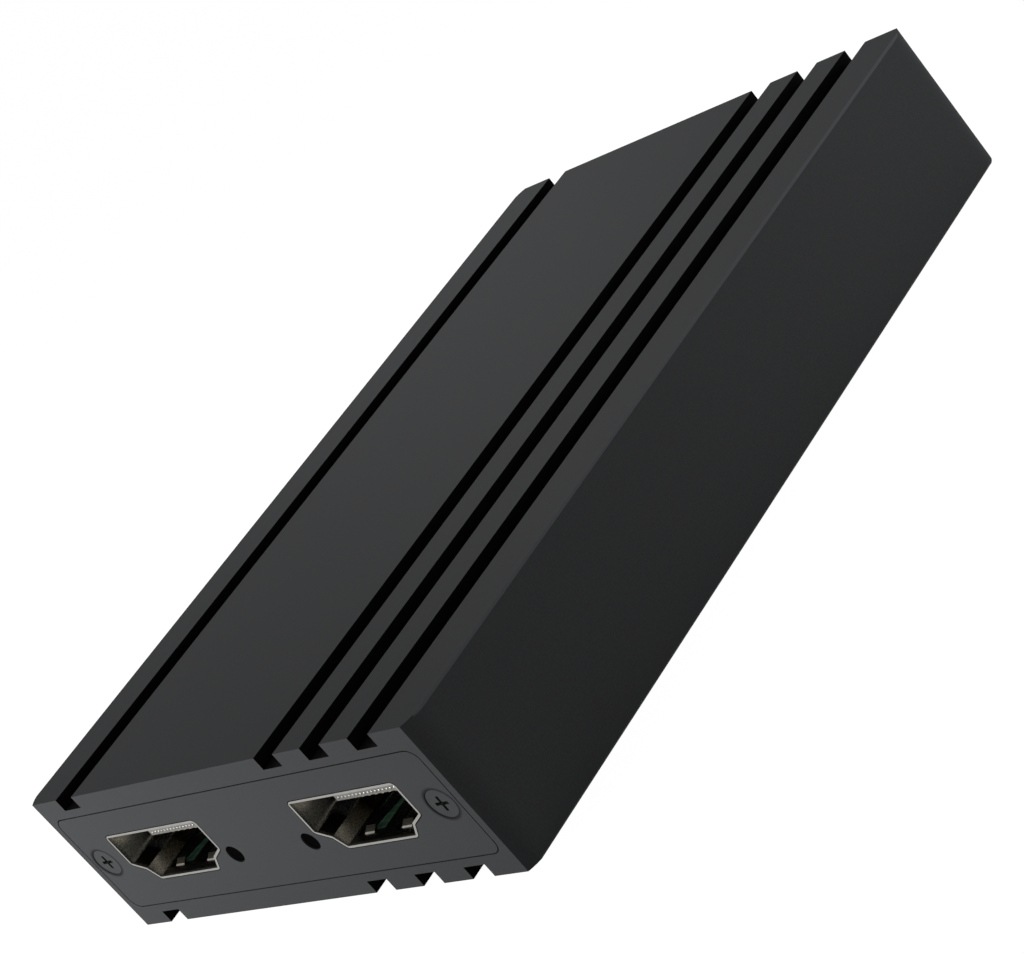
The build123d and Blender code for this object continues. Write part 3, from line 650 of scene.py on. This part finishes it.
sink_skin = plated(
    "sink_aluminium", (0.30, 0.31, 0.33), (0.40, 0.41, 0.43), (0.38, 0.52), (1.0, 0.04, 1.0))
dress(shell_plating, "left_video_port_shell", "right_video_port_shell", "data_port_shell")
dress(bush_plating, "audio_jack_bushes")
dress(tin_plating, "flash_chip_leads", "clock_crystals")
dress(gilt, "left_video_port_contacts", "right_video_port_contacts", "data_port_contacts",
      "audio_jack_springs")
dress(can_skin, "electrolytic_capacitors")
dress(sink_skin, "heat_sink")

# %% [markdown]
# ## Moulded pieces
# The connectors' mouldings, the chips and the small parts on the board differ in tone, gloss and
# grain, and in nothing else. One function with those four values makes them all.

# %% Moulded finishes
def moulded(name, dark, light, rough, grain_scale, depth, gloss=0.35, inner=None):
    """A moulded or fired surface: its two tones, its roughness range, and its grain's scale and depth.

    An inner tone, where one is given, takes over behind the front of a socket's tongue.
    """
    finish, tree, shader, place = new_finish(name)
    fine = place_effect(tree, grain, place, grain_scale=grain_scale, tone_scale=grain_scale / 12)
    skin = blend_colours(tree, fine["Tone"], dark, light)
    if inner:
        inside = place_effect(tree, behind, place, half_length=half_length, start=2.7 * MM, run=0.3 * MM)
        skin = blend_colours(tree, inside["Depth"], skin, inner)
    tree.links.new(skin, shader.inputs["Base Color"])
    tree.links.new(between(tree, fine["Grain"], rough[0], rough[1]), shader.inputs["Roughness"])
    shader.inputs["Specular IOR Level"].default_value = gloss
    relief(tree, shader, fine["Grain"], depth * MM, 0.5)
    return finish


port_moulding = moulded(
    "port_moulding", (0.125, 0.123, 0.115), (0.160, 0.158, 0.150), (0.45, 0.60), 6000.0, 0.004,
    gloss=0.1, inner=(0.15, 0.15, 0.155))
black_moulding = moulded(
    "black_moulding", (0.016, 0.016, 0.017), (0.026, 0.026, 0.027), (0.40, 0.55), 6000.0, 0.004)
chip_black = moulded(
    "chip_compound", (0.018, 0.018, 0.019), (0.030, 0.030, 0.031), (0.48, 0.66), 9000.0, 0.006)
ferrite = moulded("ferrite", (0.07, 0.07, 0.072), (0.10, 0.10, 0.102), (0.60, 0.75), 8000.0, 0.008)
ceramic = moulded("fired_ceramic", (0.36, 0.25, 0.15), (0.44, 0.31, 0.20), (0.45, 0.60), 8000.0, 0.004)
soft_pad = moulded("silicone_pad", (0.29, 0.33, 0.39), (0.35, 0.39, 0.45), (0.62, 0.78), 3000.0, 0.010)
lamp_white = moulded("lamp_package", (0.70, 0.69, 0.63), (0.80, 0.79, 0.73), (0.20, 0.34), 6000.0, 0.002)
# Painted shade: the light pipes are painted almost perfect black, so the holes in front of them read as
# deep shade.
pipe_shade_black = moulded(
    "smoked_pipe", (0.0008, 0.0008, 0.0009), (0.0012, 0.0012, 0.0013), (0.35, 0.45), 6000.0, 0.001,
    gloss=0.001)
dress(port_moulding, "left_video_port_insulator", "right_video_port_insulator")
dress(black_moulding, "data_port_insulator", "audio_jack_bodies")
dress(chip_black, "capture_chip", "memory_chips", "video_receiver_chips", "data_bridge_chip",
      "audio_codec_chip", "flash_chip_body", "surge_guards")
dress(ferrite, "power_inductors")
dress(ceramic, "ceramic_capacitors")
dress(soft_pad, "thermal_pad")
dress(lamp_white, "status_lamps")
dress(pipe_shade_black, "light_pipes")

# %% [markdown]
# ## The circuit board
# The board is glass cloth under a green lacquer, with copper tracks that show through as a lighter
# green. The weave is two fine waves across each other. The tracks are bands of a coarse brick
# pattern, which has the straight runs and right angles of a real layout without copying one.

# %% Board finish
board_green, tree, shader, place = new_finish("board_lacquer")
threads = []
for direction in ("X", "Y"):
    wave = tree.nodes.new("ShaderNodeTexWave")
    wave.bands_direction = direction
    wave.inputs["Scale"].default_value = 700.0
    tree.links.new(place, wave.inputs["Vector"])
    threads.append(wave.outputs["Fac"])
weave = sum_up(tree, "MULTIPLY", *threads)
tracks = tree.nodes.new("ShaderNodeTexBrick")
tree.links.new(place, tracks.inputs["Vector"])
tracks.inputs["Scale"].default_value = 260.0
tracks.inputs["Mortar Size"].default_value = 0.035
tracks.inputs["Brick Width"].default_value = 0.9
tracks.inputs["Row Height"].default_value = 0.24
green = blend_colours(tree, weave, (0.100, 0.215, 0.150), (0.120, 0.250, 0.175))
tracked = blend_colours(tree, tracks.outputs["Fac"], green, (0.150, 0.330, 0.225))
tree.links.new(tracked, shader.inputs["Base Color"])
tree.links.new(between(tree, weave, 0.28, 0.40), shader.inputs["Roughness"])
raised = sum_up(tree, "ADD", tracks.outputs["Fac"], sum_up(tree, "MULTIPLY", weave, 0.2))
relief(tree, shader, raised, 0.02 * MM, 0.6)
dress(board_green, "circuit_board")

# %% [markdown]
# ## Contact tips
# At the front of each video port's tongue the ends of the contacts show as a row of bright dots, the
# upper and lower rows taking turns. A row of alike things on a steady pitch is a Geometry Nodes task:
# a line of points with one small tip on each.

# %% Helpers for geometry trees
def new_rule(name, inputs):
    """A geometry tree with a place for points and named inputs: tree, entry, way out and sockets."""
    tree = bpy.data.node_groups.new(name, "GeometryNodeTree")
    tree.interface.new_socket("Geometry", in_out="OUTPUT", socket_type="NodeSocketGeometry")
    tree.interface.new_socket("Places", in_out="INPUT", socket_type="NodeSocketGeometry")
    sockets = {}
    for socket, kind in inputs:
        sockets[socket] = tree.interface.new_socket(socket, in_out="INPUT", socket_type=kind).identifier
    entry = tree.nodes.new("NodeGroupInput")
    leave = tree.nodes.new("NodeGroupOutput")
    return tree, entry.outputs, leave.inputs, sockets


def made_by_rule(name, tree, sockets, values, finish, places=()):
    """A finished mesh from a geometry tree and its values, riding on the box's one body."""
    start = bpy.data.objects.new(name + "_start", bpy.data.meshes.new(name + "_start"))
    start.data.from_pydata([tuple(place) for place in places], [], [])
    bpy.context.scene.collection.objects.link(start)
    modifier = start.modifiers.new(name, "NODES")
    modifier.node_group = tree
    for socket, value in values.items():
        modifier[sockets[socket]] = value
    bpy.context.view_layer.update()
    ready = start.evaluated_get(bpy.context.evaluated_depsgraph_get())
    mesh = bpy.data.meshes.new_from_object(ready)
    start.modifiers.remove(modifier)
    bpy.data.objects.remove(start)
    piece = bpy.data.objects.new(name, mesh)
    bpy.context.scene.collection.objects.link(piece)
    mesh.materials.clear()
    mesh.materials.append(finish)
    for face in mesh.polygons:
        face.use_smooth = True
        face.material_index = 0
    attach(piece, "root")
    print(name, len(mesh.polygons), "faces")
    return piece


def copies_on(tree, points, mesh, given, gives, size=None, turn=None):
    """One mesh on each point, made real and given its finish, as the last steps of a tree."""
    put = tree.nodes.new("GeometryNodeInstanceOnPoints")
    tree.links.new(points, put.inputs["Points"])
    tree.links.new(mesh, put.inputs["Instance"])
    if size:
        tree.links.new(size, put.inputs["Scale"])
    if turn:
        put.inputs["Rotation"].default_value = turn
    real = tree.nodes.new("GeometryNodeRealizeInstances")
    tree.links.new(put.outputs[0], real.inputs[0])
    coat = tree.nodes.new("GeometryNodeSetMaterial")
    tree.links.new(real.outputs[0], coat.inputs["Geometry"])
    tree.links.new(given["Finish"], coat.inputs["Material"])
    tree.links.new(coat.outputs[0], gives["Geometry"])


def joined(tree, *values):
    """A vector from three numbers or sockets."""
    node = tree.nodes.new("ShaderNodeCombineXYZ")
    for place, value in enumerate(values):
        if isinstance(value, (int, float)):
            node.inputs[place].default_value = value
        else:
            tree.links.new(value, node.inputs[place])
    return node.outputs[0]


# %% Rule for a row of tips
tip_rule, given, gives, tip_sockets = new_rule(
    "contact_tip_row",
    [("Count", "NodeSocketInt"), ("Pitch", "NodeSocketFloat"), ("Tip Size", "NodeSocketVector"),
     ("Middle", "NodeSocketVector"), ("Finish", "NodeSocketMaterial")])
row = tip_rule.nodes.new("GeometryNodeMeshLine")
tip_rule.links.new(given["Count"], row.inputs["Count"])
tip_rule.links.new(joined(tip_rule, given["Pitch"], 0.0, 0.0), row.inputs["Offset"])
work = sums_in(tip_rule)
row_length = work("MULTIPLY", work("SUBTRACT", given["Count"], 1.0), given["Pitch"])
back_half = work("MULTIPLY", row_length, -0.5)
shift = tip_rule.nodes.new("ShaderNodeVectorMath")
shift.operation = "ADD"
tip_rule.links.new(joined(tip_rule, back_half, 0.0, 0.0), shift.inputs[0])
tip_rule.links.new(given["Middle"], shift.inputs[1])
placed = tip_rule.nodes.new("GeometryNodeSetPosition")
tip_rule.links.new(row.outputs["Mesh"], placed.inputs["Geometry"])
tip_rule.links.new(shift.outputs[0], placed.inputs["Offset"])
tip = tip_rule.nodes.new("GeometryNodeMeshUVSphere")
tip.inputs["Segments"].default_value = 12
tip.inputs["Rings"].default_value = 7
tip.inputs["Radius"].default_value = 0.5
copies_on(tip_rule, placed.outputs[0], tip.outputs["Mesh"], given, gives, size=given["Tip Size"])
print("rule", tip_rule.name)

# %% Contact tips in place
tongue_middle = 3.74 * MM
for side in ("left", "right"):
    shell_low, shell_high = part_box(side + "_video_port_shell")
    insulator_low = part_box(side + "_video_port_insulator")[0]
    across = (shell_low[0] + shell_high[0]) / 2
    values = {
        "Count": 19, "Pitch": 0.55 * MM,
        "Tip Size": (0.30 * MM, 0.14 * MM, 0.30 * MM),
        "Middle": (across, insulator_low[1] - 0.01 * MM, board_top + tongue_middle),
        "Finish": tip_plating,
    }
    made_by_rule(side + "_port_contact_tips", tip_rule, tip_sockets, values, tip_plating)

# %% [markdown]
# ## Solder joints
# The shells' legs go through the board and are soldered below it. Solder wets the leg and the copper
# round it, so each joint is a small cone with hollow sides, drawn out along the flat leg. The joints
# are alike and only their places differ, so one tree makes a joint and puts it on every point. The
# points are measured on each shell: its lowest corners are where its legs end.

# %% Where a node ends
def ends_of(node, axis, high):
    """The middle and size of each group of a node's corners at one end of its box."""
    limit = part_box(node)[1 if high else 0][axis]
    groups = []
    for vertex in parts[node].data.vertices:
        if abs(vertex.co[axis] - limit) > 0.02 * MM:
            continue
        near = [group for group in groups if (group[0] - vertex.co).length < 3.0 * MM]
        if near:
            near[0].append(vertex.co.copy())
        else:
            groups.append([vertex.co.copy()])
    found = []
    for group in groups:
        low = Vector([min(spot[i] for spot in group) for i in range(3)])
        top = Vector([max(spot[i] for spot in group) for i in range(3)])
        found.append(((low + top) / 2, top - low))
    return found


for shell in ("left_video_port_shell", "right_video_port_shell", "data_port_shell"):
    feet = [foot for foot, _ in ends_of(shell, 2, False)]
    print(shell, "legs", [[round(v / MM, 2) for v in foot] for foot in feet])

# %% Rule for solder joints
joint_rule, given, gives, joint_sockets = new_rule(
    "solder_joints",
    [("Foot Radius", "NodeSocketFloat"), ("Neck Radius", "NodeSocketFloat"),
     ("Joint Height", "NodeSocketFloat"), ("Half Leg", "NodeSocketFloat"), ("Waist", "NodeSocketFloat"),
     ("Finish", "NodeSocketMaterial")])
cone = joint_rule.nodes.new("GeometryNodeMeshCone")
cone.inputs["Vertices"].default_value = 20
cone.inputs["Side Segments"].default_value = 6
joint_rule.links.new(given["Foot Radius"], cone.inputs["Radius Top"])
joint_rule.links.new(given["Neck Radius"], cone.inputs["Radius Bottom"])
joint_rule.links.new(given["Joint Height"], cone.inputs["Depth"])
work = sums_in(joint_rule)
spot = axes_of(joint_rule, joint_rule.nodes.new("GeometryNodeInputPosition").outputs[0])
half_turn = work("MULTIPLY", work("DIVIDE", spot["Z"], given["Joint Height"]), math.pi)
slim = work("SUBTRACT", 1.0, work("MULTIPLY", work("SINE", half_turn), given["Waist"]))
along_leg = work("MULTIPLY", work("SIGN", spot["Y"]), given["Half Leg"])
slim_x = work("MULTIPLY", spot["X"], slim)
slim_y = work("ADD", work("MULTIPLY", spot["Y"], slim), along_leg)
shaped = joint_rule.nodes.new("GeometryNodeSetPosition")
joint_rule.links.new(cone.outputs["Mesh"], shaped.inputs["Geometry"])
joint_rule.links.new(joined(joint_rule, slim_x, slim_y, spot["Z"]), shaped.inputs["Position"])
copies_on(joint_rule, given["Places"], shaped.outputs[0], given, gives)
print("rule", joint_rule.name)

# %% Solder joints in place
joint_height = 0.55 * MM
board_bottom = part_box("circuit_board")[0][2]
for side in ("left_video", "right_video", "data"):
    legs = ends_of(side + "_port_shell", 2, False)
    values = {
        "Foot Radius": 0.55 * MM, "Neck Radius": 0.18 * MM, "Joint Height": joint_height,
        "Half Leg": legs[0][1][1] / 2 - 0.06 * MM, "Waist": 0.3, "Finish": tin_plating,
    }
    spots = [(leg[0][0], leg[0][1], board_bottom - joint_height) for leg in legs]
    made_by_rule(side + "_port_solder", joint_rule, joint_sockets, values, tin_plating,
                 spots)

# %% [markdown]
# ## Screw threads
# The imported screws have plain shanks, as thick as the core of their thread. The ridge is a small
# pointed bar that follows a helix, so it comes from a Spiral curve with a four-cornered profile. The
# curve's normals are set to Z up, or the corners would slowly turn round on the way. The same helix is
# put on the axis of each screw and laid down along it.

# %% Rule for a thread
thread_rule, given, gives, thread_sockets = new_rule(
    "screw_threads",
    [("Pitch", "NodeSocketFloat"), ("Length", "NodeSocketFloat"), ("Core Radius", "NodeSocketFloat"),
     ("Ridge", "NodeSocketFloat"), ("Finish", "NodeSocketMaterial")])
helix = thread_rule.nodes.new("GeometryNodeCurveSpiral")
helix.inputs["Resolution"].default_value = 18
work = sums_in(thread_rule)
thread_rule.links.new(work("DIVIDE", given["Length"], given["Pitch"]), helix.inputs["Rotations"])
ridge_line = work("MULTIPLY_ADD", given["Ridge"], 0.25, given["Core Radius"])
thread_rule.links.new(ridge_line, helix.inputs["Start Radius"])
thread_rule.links.new(ridge_line, helix.inputs["End Radius"])
thread_rule.links.new(given["Length"], helix.inputs["Height"])
upright = thread_rule.nodes.new("GeometryNodeSetCurveNormal")
upright.mode = "Z_UP"
thread_rule.links.new(helix.outputs[0], upright.inputs["Curve"])
corners = thread_rule.nodes.new("GeometryNodeCurvePrimitiveCircle")
corners.inputs["Resolution"].default_value = 4
thread_rule.links.new(given["Ridge"], corners.inputs["Radius"])
bar = thread_rule.nodes.new("GeometryNodeCurveToMesh")
thread_rule.links.new(upright.outputs[0], bar.inputs["Curve"])
thread_rule.links.new(corners.outputs[0], bar.inputs["Profile Curve"])
bar.inputs["Fill Caps"].default_value = True
laid_down = (-math.pi / 2, 0.0, 0.0)
copies_on(thread_rule, given["Places"], bar.outputs[0], given, gives, turn=laid_down)
print("rule", thread_rule.name)

# %% Threads in place
thread_length = 5.6 * MM
end_gap = 0.15 * MM
for side, inner_end_is_high in (("front", True), ("rear", False)):
    shanks = ends_of(side + "_screws", 1, inner_end_is_high)
    values = {
        "Pitch": 0.4 * MM, "Length": thread_length, "Core Radius": shanks[0][1][0] / 2,
        "Ridge": 0.16 * MM, "Finish": screw_black,
    }
    along = -thread_length - end_gap if inner_end_is_high else end_gap
    spots = [(end[0][0], end[0][1] + along, end[0][2]) for end in shanks]
    made_by_rule(side + "_screw_threads", thread_rule, thread_sockets, values, screw_black,
                 spots)

# %% [markdown]
# ## The last measure
# The CAD model's box is written down here.

# %% Sizes and finish
def as_lists(corners):
    """The two corners of a box as plain lists of numbers."""
    return [[float(v) for v in corner] for corner in corners]


print("CAD box", as_lists(cad_box))
